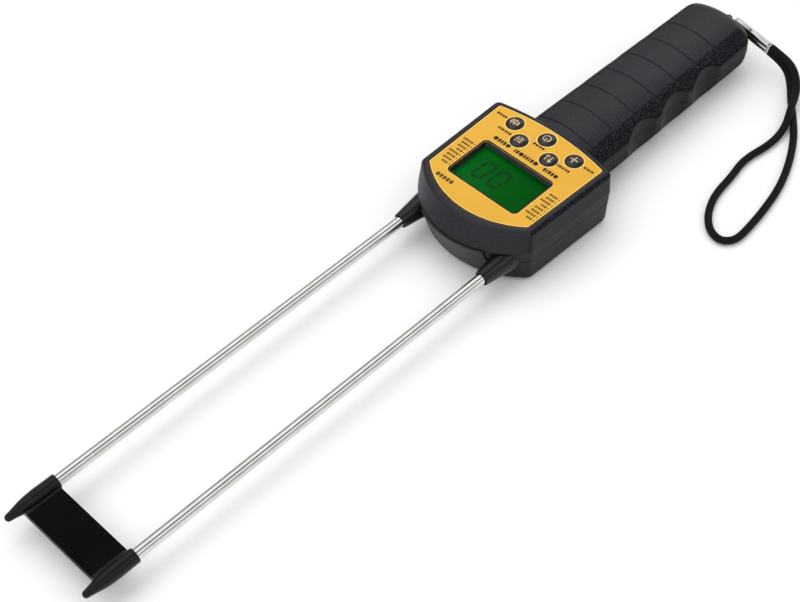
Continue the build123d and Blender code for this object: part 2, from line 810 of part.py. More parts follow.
def make_leads():
    """Supply leads from the cell holder and probe leads from the rods, to the board."""
    lead_r = 0.6
    board_end_z = board_z - 0.05
    start_y = bay_front_y + holder_wall + 0.05
    for side, word in ((1, "left"), (-1, "right")):
        supply = [
            (side * 5.5, start_y, 8.3),
            (side * 5.6, start_y + 6, 8.6),
            (side * 8.0, start_y + 14, 10.4),
            (side * 9.2, head_rear_y + 4.1, 12.4),
            (side * 9.2, head_rear_y + 4.1, board_end_z),
        ]
        keep(tube(supply, corner_radii(supply, 0.4), lead_r), f"supply_lead_{word}")
        tab_y = boot_front_y - 39.15
        probe = [
            (side * 14.3, tab_y, rod_axis_z),
            (side * 10.6, tab_y - 0.3, rod_axis_z + 0.1),
            (side * 6.6, tab_y - 4.0, 14.0),
            (side * 4.5, tab_y - 7.6, 14.4),
            (side * 4.5, tab_y - 7.6, board_end_z),
        ]
        keep(tube(probe, corner_radii(probe, 0.4), lead_r), f"probe_lead_{word}")


# ---------------------------------------------------------------- screws
def cross_cut(x, y, z, width, depth):
    """Cross recess of a screw head, as a solid to cut away."""
    with BuildPart() as cross:
        with Locations((x, y, z)):
            Box(width, width / 4, 2 * depth)
            Box(width / 4, width, 2 * depth)
    return cross.part


def make_screws():
    """Screws of the shells, the board and the rod carrier, one group each."""
    with BuildPart() as shell_screws:
        for x, y in shell_screw_places:
            with Locations((x, y, 8.0)):
                Cylinder(2.3, 1.8, align=(Align.CENTER, Align.CENTER, Align.MAX))
                Cylinder(1.15, 12.0, align=on_base)
        for x, y in shell_screw_places:
            add(cross_cut(x, y, 6.2, 2.6, 0.8), mode=Mode.SUBTRACT)
    keep(shell_screws.part, "shell_screws")

    with BuildPart() as board_screws:
        for x, y in board_screw_places:
            with Locations((x, y, board_z - 0.05)):
                Cylinder(1.8, 1.2, align=(Align.CENTER, Align.CENTER, Align.MAX))
                Cylinder(0.75, 6.2, align=on_base)
        for x, y in board_screw_places:
            add(cross_cut(x, y, board_z - 1.25, 2.0, 0.5), mode=Mode.SUBTRACT)
    keep(board_screws.part, "board_screws")

    with BuildPart() as carrier_screws:
        for x, y in carrier_screw_places:
            with Locations((x, y, 15.45)):
                Cylinder(2.4, 1.7, align=on_base)
                Cylinder(1.25, 11.0, align=(Align.CENTER, Align.CENTER, Align.MAX))
        for x, y in carrier_screw_places:
            add(cross_cut(x, y, 17.15, 2.8, 0.8), mode=Mode.SUBTRACT)
    keep(carrier_screws.part, "carrier_screws")


# ---------------------------------------------------------------- wrist strap
def sleeve_plane(distance):
    """Plane across the ferrule's sleeve at a distance along it, facing its mouth."""
    droop = math.radians(sleeve_droop)
    heading = Vector(-math.cos(droop), 0, -math.sin(droop))
    centre = Vector(sleeve_start_x, pin_y, sleeve_start_z) + heading * distance
    return Plane(origin=centre, x_dir=(0, 1, 0), z_dir=heading)


def make_strap_parts():
    """Upright pin behind the grip, and the metal ferrule that swings on it."""
    pin_length = eye_thickness + 2 * (ear_gap + ear_thickness)
    with BuildPart() as pin:
        with Locations((0, pin_y, eye_z)):
            Cylinder(pin_r, pin_length)
        chamfer(pin.edges().filter_by(GeomType.CIRCLE), 0.15)
    keep(pin.part, "strap_pin")

    with BuildPart() as ferrule:
        with BuildSketch(sleeve_plane(0)):
            with Locations((0, lobe_offset), (0, -lobe_offset)):
                Circle(lobe_r)
            Rectangle(2.4, 2 * lobe_offset)
        extrude(amount=sleeve_length)
        with Locations((0, pin_y, eye_z)):
            Cylinder(eye_r, eye_thickness)
            Box(1.6 - sleeve_start_x, 2.6, eye_thickness, align=(Align.MAX, Align.CENTER, Align.CENTER))
            Cylinder(pin_r + 0.05, 8, mode=Mode.SUBTRACT)
    keep(ferrule.part, "strap_ferrule")


def make_wrist_cord():
    """Braided wrist cord: both ends in the ferrule, a twist, and a loop on the table."""
    mouth = sleeve_plane(sleeve_length + 0.03)
    upper = mouth.origin - mouth.y_dir * (cord_diameter / 2 + 0.03)
    lower = mouth.origin + mouth.y_dir * (cord_diameter / 2 + 0.03)
    upper_next = upper + mouth.z_dir * 6.0
    lower_next = lower + mouth.z_dir * 6.0
    top = cord_rest_z + 4.0
    rest = cord_rest_z
    route = [
        tuple(upper),
        tuple(upper_next),
        (-39.6, -207.4, 11.0),
        (-46.8, -202.0, 7.6),
        (-50.6, -195.4, top),
        (-53.6, -188.2, top),
        (-57.6, -179.4, 2.6),
        (-59.2, -167.5, rest),
        (-56.2, -150.5, rest),
        (-59.0, -138.0, rest),
        (-60.3, -126.5, rest),
        (-62.8, -118.5, rest),
        (-67.4, -110.4, rest),
        (-73.8, -104.8, rest),
        (-80.6, -103.7, rest),
        (-84.9, -108.6, rest),
        (-84.6, -117.2, rest),
        (-82.6, -132.0, rest),
        (-79.0, -148.0, rest),
        (-72.5, -163.5, rest),
        (-64.3, -177.5, rest),
        (-56.0, -187.6, rest),
        (-48.6, -195.6, rest),
        (-43.4, -201.6, 4.2),
        (-38.0, -206.0, 7.6),
        tuple(lower_next),
        tuple(lower),
    ]
    radii = corner_radii(route)
    cord = tube(route, radii, cord_diameter / 2)
    section = math.pi * cord_diameter**2 / 4
    print("cord radii", [round(radius, 1) for radius in radii])
    print("cord ends", [tuple(round(v, 2) for v in route[i]) for i in (0, 1, -2, -1)])
    print("cord length by volume", round(cord.volume / section, 1))
    keep(cord, "wrist_cord")


make_upper_housing()
make_lower_housing()
make_battery_cover()
make_face_label()
make_display()
make_board()
make_keypad()
make_keys()
make_rods()
make_rod_carrier()
make_rod_fixings()
make_tip_bridge()
make_cell_holder()
make_cells()
make_contacts()
make_leads()
make_screws()
make_strap_parts()
make_wrist_cord()
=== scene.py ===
import math

import bmesh
import bpy
from mathutils import Matrix, Vector


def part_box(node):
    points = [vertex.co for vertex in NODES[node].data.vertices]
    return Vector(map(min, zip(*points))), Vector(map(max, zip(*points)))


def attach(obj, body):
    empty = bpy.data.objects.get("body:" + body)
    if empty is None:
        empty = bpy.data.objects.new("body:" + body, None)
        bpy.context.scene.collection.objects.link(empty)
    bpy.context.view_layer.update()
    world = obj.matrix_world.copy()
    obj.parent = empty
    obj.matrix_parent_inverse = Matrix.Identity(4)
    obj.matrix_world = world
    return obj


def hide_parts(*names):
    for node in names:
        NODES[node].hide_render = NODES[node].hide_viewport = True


# Grain moisture meter. Metres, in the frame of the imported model: +Y from the grip
# to the probe tips, +Z out of the face label.
MM = 0.001

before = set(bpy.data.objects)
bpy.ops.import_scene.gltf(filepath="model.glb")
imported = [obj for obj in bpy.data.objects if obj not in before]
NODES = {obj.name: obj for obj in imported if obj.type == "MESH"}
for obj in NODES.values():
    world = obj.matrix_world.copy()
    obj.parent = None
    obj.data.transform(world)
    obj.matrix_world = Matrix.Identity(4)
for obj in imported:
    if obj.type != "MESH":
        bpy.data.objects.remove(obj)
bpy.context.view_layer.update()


# ---------------------------------------------------------------- camera
LENS = 78.91
SENSOR_WIDTH = 36.0
EYE = Vector((-377.53, 341.82, 584.13)) * MM
EYE_SIDE = Vector((-0.4921, 0.4233, 0.7607))
ROLL = math.radians(-4.899)


def make_camera():
    data = bpy.data.cameras.new("camera")
    data.sensor_width = SENSOR_WIDTH
    data.lens = LENS
    data.clip_end = 20.0
    cam = bpy.data.objects.new("camera", data)
    bpy.context.scene.collection.objects.link(cam)
    back = EYE_SIDE.normalized()
    level = Vector((0, 0, 1)).cross(back).normalized()
    upright = back.cross(level)
    right = math.cos(ROLL) * level + math.sin(ROLL) * upright
    up = math.cos(ROLL) * upright - math.sin(ROLL) * level
    turn = Matrix((right, up, back)).transposed().to_4x4()
    cam.matrix_world = Matrix.Translation(EYE) @ turn
    bpy.context.scene.camera = cam


make_camera()


# ---------------------------------------------------------------- node helpers
def shade(tone, factor):
    """A colour made darker or lighter."""
    return tuple(factor * t for t in tone)


class Mat:
    """A small builder for node materials that use object coordinates."""

    def __init__(self, name):
        self.mat = bpy.data.materials.new(name)
        self.mat.use_nodes = True
        self.tree = self.mat.node_tree
        self.bsdf = self.tree.nodes["Principled BSDF"]
        self.coords = self.tree.nodes.new("ShaderNodeTexCoord")

    def set(self, **values):
        for name, value in values.items():
            self.bsdf.inputs[name.replace("_", " ")].default_value = value

    def link(self, a, b):
        self.tree.links.new(a, b)

    def coat(self, weight, roughness=0.05):
        self.bsdf.inputs["Coat Weight"].default_value = weight
        self.bsdf.inputs["Coat Roughness"].default_value = roughness

    def stretched(self, scale, output="Object"):
        mapping = self.tree.nodes.new("ShaderNodeMapping")
        mapping.inputs["Scale"].default_value = scale
        self.link(self.coords.outputs[output], mapping.inputs["Vector"])
        return mapping.outputs["Vector"]

    def noise(self, scale, detail=3.0, rough=0.5, vector=None):
        node = self.tree.nodes.new("ShaderNodeTexNoise")
        node.inputs["Scale"].default_value = scale
        node.inputs["Detail"].default_value = detail
        node.inputs["Roughness"].default_value = rough
        self.link(vector or self.coords.outputs["Object"], node.inputs["Vector"])
        return node.outputs["Fac"]

    def cells(self, scale, vector=None, feature="F1"):
        node = self.tree.nodes.new("ShaderNodeTexVoronoi")
        node.feature = feature
        node.inputs["Scale"].default_value = scale
        self.link(vector or self.coords.outputs["Object"], node.inputs["Vector"])
        return node.outputs["Distance"]

    def math(self, kind, a, b=None, c=None):
        node = self.tree.nodes.new("ShaderNodeMath")
        node.operation = kind
        for socket, value in zip(node.inputs, (a, b, c)):
            if value is None:
                continue
            if isinstance(value, (int, float)):
                socket.default_value = value
            else:
                self.link(value, socket)
        return node.outputs[0]

    def span(self, value, low, high, out_low=0.0, out_high=1.0):
        node = self.tree.nodes.new("ShaderNodeMapRange")
        node.interpolation_type = "SMOOTHSTEP"
        limits = {"From Min": low, "From Max": high, "To Min": out_low, "To Max": out_high}
        for name, number in limits.items():
            node.inputs[name].default_value = number
        self.link(value, node.inputs["Value"])
        return node.outputs["Result"]

    def ramp(self, value, *stops):
        node = self.tree.nodes.new("ShaderNodeValToRGB")
        ramp = node.color_ramp
        for end, (position, colour) in zip(ramp.elements, (stops[0], stops[-1])):
            end.position, end.color = position, (*colour, 1)
        for position, colour in stops[1:-1]:
            ramp.elements.new(position).color = (*colour, 1)
        self.link(value, node.inputs["Fac"])
        return node.outputs["Color"]

    def mix(self, fac, a, b):
        node = self.tree.nodes.new("ShaderNodeMix")
        node.data_type = "RGBA"
        for name, value in (("Factor", fac), ("A", a), ("B", b)):
            kind = "VALUE" if name == "Factor" else "RGBA"
            socket = [s for s in node.inputs if s.name == name and s.type == kind][0]
            if isinstance(value, tuple):
                socket.default_value = (*value, 1)
            elif isinstance(value, (int, float)):
                socket.default_value = value
            else:
                self.link(value, socket)
        return [s for s in node.outputs if s.type == "RGBA"][0]

    def part(self, axis, output="Object"):
        node = self.tree.nodes.new("ShaderNodeSeparateXYZ")
        self.link(self.coords.outputs[output], node.inputs[0])
        return node.outputs[axis]

    def colour(self, socket):
        self.link(socket, self.bsdf.inputs["Base Color"])

    def roughness(self, socket):
        self.link(socket, self.bsdf.inputs["Roughness"])

    def bump(self, height, distance, strength=1.0):
        node = self.tree.nodes.new("ShaderNodeBump")
        node.inputs["Distance"].default_value = distance
        if isinstance(strength, (int, float)):
            node.inputs["Strength"].default_value = strength
        else:
            self.link(strength, node.inputs["Strength"])
        self.link(height, node.inputs["Height"])
        last = self.bsdf.inputs["Normal"]
        if last.is_linked:
            self.link(last.links[0].from_socket, node.inputs["Normal"])
        self.link(node.outputs["Normal"], last)


def paint(mat, *names):
    for name in names:
        obj = NODES[name]
        obj.data.materials.clear()
        obj.data.materials.append(mat)


# ---------------------------------------------------------------- materials
GRIP_START = (-0.092, -0.085)  # y in metres, over which the head's finish becomes the grip's


def housing(name, tone, grain):
    """Moulded ABS: fine grain on top, satin upright walls, coarse grain on the shoulders under
    painted shade with painted glints, and faint painted glints on faces that look up.
    """
    m = Mat(name)
    up = m.math("ABSOLUTE", m.part(2, "Normal"))
    facing = m.span(up, 0.15, 0.5)
    across = m.math("ABSOLUTE", m.part(0, "Normal"))
    ahead = m.math("ABSOLUTE", m.part(1, "Normal"))
    sideways = m.span(m.math("SUBTRACT", across, ahead), 0.0, 0.44)
    # Shoulder band between top and sides, by the facing of the surface; its colour is painted
    # shade.
    shoulder = m.math("MULTIPLY", m.span(up, 0.1, 0.3), m.span(up, 0.87, 0.985, 1.0, 0.0))
    shoulder = m.math("MULTIPLY", shoulder, sideways)
    # Painted glints: sparse bright spots in the colour that stand for sparkles of light on the
    # grain.
    painted_glint_spots = m.span(m.noise(2100, 1.0, 0.5), 0.52, 0.66)
    painted_glint = shade(tone, 3.6)
    shoulder_shade_and_glints = m.mix(painted_glint_spots, shade(tone, 0.12), painted_glint)
    pits = m.cells(950)
    grit = m.noise(1700, 2.0, 0.6)
    fine = m.noise(5200, 2.0, 0.6)
    broad = m.noise(45, 3.0)
    height = m.math("ADD", m.math("MULTIPLY", pits, 0.7), m.math("MULTIPLY", grit, 0.5))
    worn = m.mix(m.span(broad, 0.3, 0.7), shade(tone, 0.85), shade(tone, 1.15))
    speck = m.mix(m.span(height, 0.4, 0.75), shade(tone, 0.6), shade(tone, 1.45))
    plain = m.mix(m.math("MULTIPLY", facing, 0.5), worn, speck)
    # Faint painted glints on faces that look up.
    plain = m.mix(m.math("MULTIPLY", m.math("MULTIPLY", painted_glint_spots, facing), 0.22), plain, painted_glint)
    # On the shoulders the colour becomes painted shade, near black, with painted glints in it.
    m.colour(m.mix(shoulder, plain, shoulder_shade_and_glints))
    satin = m.span(fine, 0.3, 0.7, 0.38, 0.48)
    m.roughness(m.math("ADD", satin, m.math("MULTIPLY", shoulder, 0.12)))
    m.bump(height, 0.0003, m.math("MULTIPLY_ADD", shoulder, grain, 0.22))
    m.bump(fine, 0.00004, 0.4)
    upright = m.span(up, 0.1, 0.4, 1.0, 0.0)
    grip = m.span(m.part(1), *GRIP_START, 1.35, 1.0)
    gloss = m.math("MULTIPLY_ADD", shoulder, -0.24, 0.32)
    gloss = m.math("MULTIPLY_ADD", m.math("MULTIPLY", upright, grip), -0.16, gloss)
    m.link(gloss, m.bsdf.inputs["Specular IOR Level"])
    return m.mat


def soft_black(name, tone, rough, grain_scale, depth, gloss=0.35, matte_half=None):
    """Dark moulding or rubber, which can be matte within a half width of the middle."""
    m = Mat(name)
    m.set(Specular_IOR_Level=gloss)
    grain = m.noise(grain_scale, 3.0, 0.6)
    broad = m.noise(70, 2.0)
    m.colour(m.mix(m.span(broad, 0.3, 0.7), shade(tone, 0.75), shade(tone, 1.3)))
    m.roughness(m.span(grain, 0.25, 0.75, rough - 0.06, rough + 0.07))
    m.bump(grain, depth, 0.6)
    if matte_half:
        edge = 0.0006
        outside = m.span(m.math("ABSOLUTE", m.part(0)), matte_half - edge, matte_half + edge)
        m.link(m.math("MULTIPLY_ADD", outside, gloss, 0.03), m.bsdf.inputs["Specular IOR Level"])
    return m.mat


def label_film():
    """Printed film: orange-yellow ink under a faintly dimpled clear coat."""
    m = Mat("label_film")
    ink = m.noise(2600, 2.0, 0.6)
    broad = m.noise(30, 2.0)
    base = m.mix(m.span(broad, 0.3, 0.7), (0.68, 0.362, 0.026), (0.72, 0.39, 0.034))
    m.colour(m.mix(m.span(ink, 0.2, 0.8, 0.0, 0.16), base, (0.6, 0.3, 0.015)))
    m.roughness(m.span(ink, 0.25, 0.75, 0.34, 0.46))
    m.bump(ink, 0.00002, 0.5)
    m.set(Specular_IOR_Level=0.3)
    return m.mat


def polished_steel(name, tone, low, high, along):
    """Polished metal with fine lines drawn along one axis and faint stains."""
    m = Mat(name)
    lines = m.noise(1, 4.0, 0.65, m.stretched(along))
    stain = m.noise(160, 3.0)
    m.set(Metallic=1.0)
    m.colour(m.mix(m.span(stain, 0.35, 0.7), shade(tone, 0.9), tone))
    m.roughness(m.span(lines, 0.3, 0.7, low, high))
    m.bump(lines, 0.00002, 0.35)
    return m.mat


def key_cap():
    m = Mat("key_cap")
    fine = m.noise(900, 2.0)
    m.colour(m.mix(m.span(fine, 0.3, 0.7), (0.006, 0.006, 0.007), (0.012, 0.012, 0.013)))
    m.roughness(m.span(fine, 0.3, 0.7, 0.2, 0.3))
    m.coat(0.15, 0.1)
    m.set(Specular_IOR_Level=0.4)
    return m.mat


def gold_print():
    m = Mat("gold_print")
    fine = m.noise(2200, 3.0, 0.6)
    m.colour(m.mix(m.span(fine, 0.3, 0.7), (0.42, 0.28, 0.13), (0.62, 0.46, 0.27)))
    m.roughness(m.span(fine, 0.3, 0.7, 0.32, 0.45))
    return m.mat


def flat_tone(name, dark, light, rough=0.4):
    m = Mat(name)
    fine = m.noise(3000, 2.0, 0.6)
    m.colour(m.mix(m.span(fine, 0.3, 0.7), dark, light))
    m.roughness(m.span(fine, 0.3, 0.7, rough - 0.06, rough + 0.06))
    m.set(Specular_IOR_Level=0.1)
    return m.mat


def lcd_screen():
    """Green backlit glass, brighter towards one end and faintly clouded."""
    m = Mat("lcd_screen")
    across = m.span(m.part(0), -0.021, 0.021)
    along = m.span(m.part(1), -0.060, -0.033)
    glow = m.math("ADD", m.math("MULTIPLY", across, 0.7), m.math("MULTIPLY", along, 0.3))
    cloud = m.noise(90, 2.0)
    glow = m.math("ADD", glow, m.math("MULTIPLY", m.math("SUBTRACT", cloud, 0.5), 0.25))
    deep, middle, lit = (0.0, 0.052, 0.003), (0.0002, 0.075, 0.004), (0.001, 0.1, 0.009)
    green = m.ramp(glow, (0.0, deep), (0.55, middle), (1.0, lit))
    m.colour(green)
    m.link(green, m.bsdf.inputs["Emission Color"])
    m.set(Emission_Strength=0.33, Roughness=0.3, Specular_IOR_Level=0.02)
    return m.mat


def clear_window():
    m = Mat("clear_window")
    fine = m.noise(400, 2.0)
    m.colour(m.mix(m.span(fine, 0.4, 0.6), (0.002, 0.02, 0.004), (0.003, 0.03, 0.006)))
    m.roughness(m.span(fine, 0.3, 0.7, 0.03, 0.07))
    m.set(Alpha=0.04, Specular_IOR_Level=0.04)
    return m.mat


def circuit_board():
    m = Mat("circuit_board")
    tracks = m.cells(900, m.stretched((1, 0.4, 1)), "DISTANCE_TO_EDGE")
    m.colour(m.mix(m.span(tracks, 0.02, 0.09), (0.05, 0.22, 0.05), (0.008, 0.09, 0.03)))
    m.set(Roughness=0.3)
    m.bump(tracks, 0.00003, 0.5)
    return m.mat


def cell_jacket():
    m = Mat("cell_jacket")
    foil, jacket = (0.5, 0.5, 0.52), (0.02, 0.025, 0.06)
    stripe = m.math("PINGPONG", m.math("ADD", m.part(1), 1.0), 0.0222)
    stripe = m.math("MULTIPLY", stripe, 45.0)
    m.colour(m.ramp(stripe, (0.0, foil), (0.22, foil), (0.26, jacket), (1.0, jacket)))
    m.roughness(m.span(m.noise(800), 0.3, 0.7, 0.2, 0.32))
    return m.mat


def wire_jacket(name, tone):
    m = Mat(name)
    fine = m.noise(1500, 2.0)
    m.colour(m.mix(m.span(fine, 0.3, 0.7), shade(tone, 0.8), tone))
    m.roughness(m.span(fine, 0.3, 0.7, 0.4, 0.52))
    m.bump(fine, 0.00003, 0.4)
    return m.mat


def braid():
    """Black yarn: fine fibres that run with each strand, lighter and darker at random along them.
    """
    m = Mat("cord_yarn")
    fibre = m.noise(1, 3.0, 0.6, m.stretched((260, 40, 1), "UV"))
    fuzz = m.noise(6000, 2.0, 0.7)
    m.colour(m.mix(m.span(fibre, 0.3, 0.75), (0.0015, 0.0015, 0.0017), (0.009, 0.009, 0.01)))
    m.roughness(m.span(fuzz, 0.3, 0.7, 0.62, 0.8))
    m.bump(fibre, 0.00008, 0.6)
    m.bump(fuzz, 0.00006, 0.6)
    m.set(Sheen_Weight=0.02, Sheen_Roughness=0.5, Specular_IOR_Level=0.14)
    return m.mat


charcoal = (0.0112, 0.0112, 0.0152)
HOUSING = housing("charcoal_grained", charcoal, 0.9)
HOUSING_LOW = housing("charcoal_satin", shade(charcoal, 1.05), 0.5)
BLACK = soft_black(
    "black_moulding", (0.002, 0.002, 0.0024), 0.33, 2200, 0.00006, gloss=0.24, matte_half=0.0205
)
BOOT = soft_black("black_boot", (0.004, 0.004, 0.0048), 0.3, 1500, 0.00005, gloss=0.36)
WEB = soft_black("inner_black", (0.015, 0.015, 0.016), 0.55, 1200, 0.00005)
FILM = label_film()
ROD = polished_steel("rod_steel", (0.72, 0.71, 0.69), 0.05, 0.14, (1500, 14, 1500))
SCREW = polished_steel("screw_steel", (0.45, 0.45, 0.47), 0.25, 0.42, (900, 900, 900))
SPRING = polished_steel("spring_steel", (0.66, 0.65, 0.62), 0.2, 0.35, (700, 700, 700))
BRASS = polished_steel("plated_brass", (0.78, 0.6, 0.3), 0.2, 0.35, (700, 700, 700))
CAN = polished_steel("drawn_can", (0.72, 0.72, 0.74), 0.22, 0.36, (500, 500, 500))
SLEEVE = polished_steel("ferrule_metal", (0.56, 0.54, 0.52), 0.08, 0.16, (60, 1400, 1400))
KEYCAP = key_cap()
GOLD = gold_print()
# Black print, also used as painted shade in the bands along the label's edge and the window's
# recess.
BLACK_INK_AND_SHADE = flat_tone("black_ink_and_painted_shade", (0.008, 0.007, 0.006), (0.02, 0.016, 0.012))
INK_SOFT = flat_tone("brown_ink", (0.06, 0.035, 0.012), (0.12, 0.07, 0.022))
# Painted highlight: a lighter yellow for the lit edges of the label, its window and the key rings.
EDGE_HIGHLIGHT = flat_tone("edge_highlight", (0.9, 0.6, 0.16), (0.95, 0.68, 0.24), 0.36)
SEGMENT = flat_tone("lcd_segment", (0.0, 0.036, 0.004), (0.0, 0.046, 0.006), 0.5)
YARN = braid()

paint(HOUSING, "upper_housing")
paint(HOUSING_LOW, "lower_housing", "battery_cover")
paint(BLACK, "tip_bridge")
paint(BOOT, "rod_boot_left", "rod_boot_right")
paint(WEB, "lcd_frame", "buzzer", "board_chips", "rod_carrier", "battery_holder")
paint(FILM, "face_label")
paint(clear_window(), "display_window")
paint(lcd_screen(), "lcd_panel")
paint(flat_tone("light_guide", (0.05, 0.4, 0.12), (0.08, 0.5, 0.16)), "lcd_backlight")
paint(soft_black("contact_rubber", (0.4, 0.36, 0.33), 0.6, 900, 0.00005), "lcd_contact_strips")
paint(circuit_board(), "main_board")
paint(CAN, "clock_crystal", "board_capacitors")
paint(soft_black("silicone_mat", (0.3, 0.3, 0.31), 0.6, 900, 0.00005), "keypad_mat")
paint(KEYCAP, "key_voice", "key_variety", "key_power", "key_adjust", "key_limit")
paint(ROD, "probe_rod_left", "probe_rod_right")
paint(BRASS, "rod_terminals", "rod_nuts")
paint(cell_jacket(), "battery_1", "battery_2", "battery_3", "battery_4")
paint(SPRING, "battery_springs", "battery_plates")
paint(wire_jacket("red_wire", (0.5, 0.02, 0.02)), "supply_lead_left", "probe_lead_left")
paint(wire_jacket("black_wire", (0.02, 0.02, 0.022)), "supply_lead_right", "probe_lead_right")
paint(SCREW, "shell_screws", "board_screws", "carrier_screws", "strap_pin")


# ---------------------------------------------------------------- mesh helpers
def place_mesh(name, mesh, mat, body, smooth):
    """Puts a mesh into the scene as a piece that rides on a body."""
    mesh.materials.append(mat)
    obj = bpy.data.objects.new(name, mesh)
    bpy.context.scene.collection.objects.link(obj)
    if smooth:
        mesh.polygons.foreach_set("use_smooth", [True] * len(mesh.polygons))
    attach(obj, body)
    return obj


def new_object(name, verts, faces, mat, body, smooth):
    mesh = bpy.data.meshes.new(name)
    mesh.from_pydata([tuple(v) for v in verts], [], faces)
    mesh.update()
    return place_mesh(name, mesh, mat, body, smooth)


def tube_faces(rings, around):
    """Faces of a tube of rings, one after the other, with a cap at each end."""
    faces = []
    for k in range(rings - 1):
        here, after = k * around, (k + 1) * around
        for j in range(around):
            n = (j + 1) % around
            faces.append((here + j, here + n, after + n, after + j))
    faces.append(tuple(reversed(range(around))))
    faces.append(tuple((rings - 1) * around + j for j in range(around)))
    return faces


# ---------------------------------------------------------------- wrist cord
PIN = Vector((0, -206.8, 16.8)) * MM
SLEEVE_START = Vector((-4.2, -206.8, 18.8)) * MM
DROOP = math.radians(12.5)
HEADING = Vector((-math.cos(DROOP), 0, -math.sin(DROOP)))
LIFT = HEADING.cross(Vector((0, 1, 0)))
SLEEVE_LENGTH = 22.3 * MM
CORD_R = 1.75 * MM
CORD_GAP = 0.03 * MM
REST = 1.8  # height in mm of the cord's middle where it lies on the table


def cord_route():
    """The CAD cord's route, in metres: down to the table, over itself, round and back."""
    mouth = SLEEVE_START + HEADING * (SLEEVE_LENGTH + CORD_GAP)
    upper = mouth - LIFT * (CORD_R + CORD_GAP)
    lower = mouth + LIFT * (CORD_R + CORD_GAP)
    if upper.z < lower.z:
        upper, lower = lower, upper
    middle = [
        (-39.6, -207.4, 11.0),
        (-46.8, -202.0, 7.6),
        (-50.6, -195.4, REST + 4.0),
        (-53.6, -188.2, REST + 4.0),
        (-57.6, -179.4, 2.6),
        (-59.2, -167.5, REST),
        (-56.2, -150.5, REST),
        (-59.0, -138.0, REST),
        (-60.3, -126.5, REST),
        (-62.8, -118.5, REST),
        (-67.4, -110.4, REST),
        (-73.8, -104.8, REST),
        (-80.6, -103.7, REST),
        (-84.9, -108.6, REST),
        (-84.6, -117.2, REST),
        (-82.6, -132.0, REST),
        (-79.0, -148.0, REST),
        (-72.5, -163.5, REST),
        (-64.3, -177.5, REST),
        (-56.0, -187.6, REST),
        (-48.6, -195.6, REST),
        (-43.4, -201.6, 4.2),
        (-38.0, -206.0, 7.6),
    ]
    straight = HEADING * 6.0 * MM
    middle = [Vector(p) * MM for p in middle]
    return [upper, upper + straight, *middle, lower + straight, lower]


def spline_points(route):
    """Points of the smooth NURBS line that follows a route."""
    curve = bpy.data.curves.new("cord_line", "CURVE")
    curve.dimensions = "3D"
    curve.resolution_u = 24
    spline = curve.splines.new("NURBS")
    spline.points.add(len(route) - 1)
    for point, place in zip(spline.points, route):
        point.co = (*place, 1.0)
    spline.order_u = 3
    spline.use_endpoint_u = True
    guide = bpy.data.objects.new("cord_line", curve)
    bpy.context.scene.collection.objects.link(guide)
    bpy.context.view_layer.update()
    mesh = bpy.data.meshes.new_from_object(guide)
    points = [v.co.copy() for v in mesh.vertices]
    bpy.data.objects.remove(guide)
    bpy.data.meshes.remove(mesh)
    return points


def even_points(points, step):
    """The same line at an even spacing, and its length."""
    total = sum((b - a).length for a, b in zip(points, points[1:]))
    count = max(2, round(total / step))
    out, walked, index = [points[0]], 0.0, 0
    for k in range(1, count):
        target = total * k / count
        while walked + (points[index + 1] - points[index]).length < target:
            walked += (points[index + 1] - points[index]).length
            index += 1
        run = points[index + 1] - points[index]
        out.append(points[index] + run * ((target - walked) / run.length))
    return out + [points[-1]], total


def braid_height(turn, run):
    """Height of a diamond braid, 0 to 1, at a turn about the cord and a run along it."""
    strands = 8
    a = strands * turn + run
    b = strands * turn - run
    over = (math.floor(a) + math.floor(b)) % 2 == 0
    crown_a = math.sin(math.pi * (a - math.floor(a)))
    crown_b = math.sin(math.pi * (b - math.floor(b)))
    top, cross = (crown_a, crown_b) if over else (crown_b, crown_a)
    return math.sqrt(max(0.0, top)) * (0.62 + 0.38 * cross)


def make_cord():
    line = spline_points(cord_route())
    points, length = even_points(line, 0.24 * MM)
    around = 56
    strand_run = 1.35 * MM
    print_run = 0.011
    core, crown = CORD_R * 0.93, 0.15 * MM
    side = Vector((0, 0, 1))
    verts, uvs = [], []
    walked = 0.0
    for k, place in enumerate(points):
        ahead = points[min(k + 1, len(points) - 1)]
        behind = points[max(k - 1, 0)]
        heading = (ahead - behind).normalized()
        side = (side - heading * side.dot(heading)).normalized()
        other = heading.cross(side)
        if k:
            walked += (place - points[k - 1]).length
        for j in range(around):
            turn = j / around
            radius = core + crown * braid_height(turn, walked / strand_run)
            angle = 2 * math.pi * turn
            verts.append(place + (side * math.cos(angle) + other * math.sin(angle)) * radius)
            uvs.append((turn, walked / print_run))
    faces = tube_faces(len(points), around)
    corners = []
    for face in faces[:-2]:
        wrap = 1.0 if face[1] % around == 0 else 0.0
        for index, extra in zip(face, (0, wrap, wrap, 0)):
            corners.append((uvs[index][0] + extra, uvs[index][1]))
    corners += [(0.0, 0.0)] * (2 * around)
    cord = new_object("wrist_cord_braid", verts, faces, YARN, "wrist_strap", True)
    layer = cord.data.uv_layers.new(name="along")
    for data, uv in zip(layer.data, corners):
        data.uv = uv
    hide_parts("wrist_cord")


make_cord()


# ---------------------------------------------------------------- ferrule
def lobe_outline(angle, lobe, offset, waist):
    """Radius of two overlapping round lobes, stacked along the lift direction."""
    chord = math.sqrt(max(0.0, lobe**2 - (offset * math.sin(angle)) ** 2))
    return max(offset * abs(math.cos(angle)) + chord, waist)


